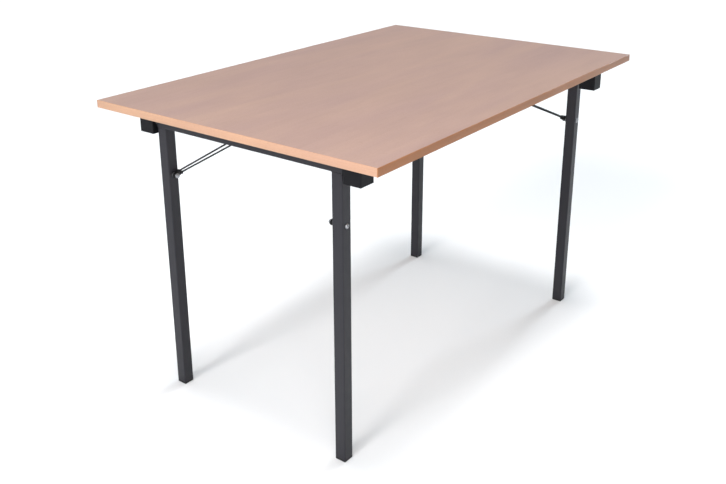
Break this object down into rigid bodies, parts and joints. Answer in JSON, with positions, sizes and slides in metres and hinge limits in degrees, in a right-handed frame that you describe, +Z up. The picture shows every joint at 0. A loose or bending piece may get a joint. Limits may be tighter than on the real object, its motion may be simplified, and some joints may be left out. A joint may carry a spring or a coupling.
{
  "type": "folding table",
  "caption": "Rectangular wood-look folding table on two dark square-tube leg frames, offset so they nest when folded, each held by V-shaped wire braces.",
  "frame": {"origin": "on the floor, below the centre of the board", "axes": "+X along the board's length, +Y across it, +Z up"},
  "size_m": [1.2, 0.8, 0.755],
  "materials": {
    "top_laminate": "satin beech-look laminate",
    "backing_laminate": "matt backing sheet",
    "board_core": "chipboard",
    "edge_band_short": "satin beech-look edge band",
    "edge_band_long": "satin beech-look edge band",
    "powder_coat": "anthracite powder coat, satin",
    "black_nylon": "moulded, fine texture",
    "black_steel": "black, semi-gloss",
    "black_rubber": "moulded foot",
    "grey_nylon": "moulded",
    "white_nylon": "moulded",
    "zinc_screw": "zinc plated",
    "bright_zinc": "bright zinc",
    "bar_steel": "drawn steel",
    "spring_steel": "spring steel"
  },
  "bodies": {
    "table_top": {"top_core": "board_core", "top_laminate": "top_laminate", "backing_laminate": "backing_laminate", "edge_band_front": "edge_band_long", "edge_band_back": "edge_band_long", "edge_band_left": "edge_band_short", "edge_band_right": "edge_band_short", "housing_screws": "zinc_screw", "bracket_screws": "zinc_screw", "right_housing_front": "black_nylon", "right_housing_back": "black_nylon", "right_guide_bracket": "black_steel", "right_catch_spring": "spring_steel", "left_housing_front": "black_nylon", "left_housing_back": "black_nylon", "left_guide_bracket": "black_steel", "left_catch_spring": "spring_steel"},
    "right_leg_frame": {"right_cross_tube": "powder_coat", "right_leg_front": "powder_coat", "right_leg_back": "powder_coat", "right_foot_front": "black_rubber", "right_foot_back": "black_rubber", "right_pivot_plug_front": "black_nylon", "right_pivot_plug_back": "black_nylon", "right_spacer_collars": "grey_nylon", "right_brace_bolts": "bright_zinc", "right_brace_spacers": "bright_zinc", "right_brace_nuts": "bright_zinc"},
    "right_brace": {"right_slide_bar": "bar_steel", "right_slide_sleeves": "white_nylon", "right_wire_brace_front": "black_steel", "right_wire_brace_back": "black_steel", "right_clevis_front": "black_steel", "right_clevis_back": "black_steel"},
    "left_leg_frame": {"left_cross_tube": "powder_coat", "left_leg_front": "powder_coat", "left_leg_back": "powder_coat", "left_foot_front": "black_rubber", "left_foot_back": "black_rubber", "left_pivot_plug_front": "black_nylon", "left_pivot_plug_back": "black_nylon", "left_spacer_collars": "grey_nylon", "left_brace_bolts": "bright_zinc", "left_brace_spacers": "bright_zinc", "left_brace_nuts": "bright_zinc"},
    "left_brace": {"left_slide_bar": "bar_steel", "left_slide_sleeves": "white_nylon", "left_wire_brace_front": "black_steel", "left_wire_brace_back": "black_steel", "left_clevis_front": "black_steel", "left_clevis_back": "black_steel"}
  },
  "joints": [
    {"name": "right_leg_fold", "type": "hinge", "parent": "table_top", "child": "right_leg_frame", "pos_m": [0.496, -0.0275, 0.699], "axis": [0, 1, 0], "range_deg": [0, 90]},
    {"name": "right_brace_swing", "type": "hinge", "parent": "right_leg_frame", "child": "right_brace", "pos_m": [0.496, -0.0275, 0.569], "axis": [0, 1, 0], "range_deg": [-114.27, 0]},
    {"name": "left_leg_fold", "type": "hinge", "parent": "table_top", "child": "left_leg_frame", "pos_m": [-0.496, 0.0275, 0.699], "axis": [0, -1, 0], "range_deg": [0, 90]},
    {"name": "left_brace_swing", "type": "hinge", "parent": "left_leg_frame", "child": "left_brace", "pos_m": [-0.496, 0.0275, 0.569], "axis": [0, -1, 0], "range_deg": [-114.27, 0]}
  ],
  "couplings": [
    {"joint": "right_brace_swing", "follows": "right_leg_fold", "ratio": -1.2696},
    {"joint": "left_brace_swing", "follows": "left_leg_fold", "ratio": -1.2696}
  ]
}
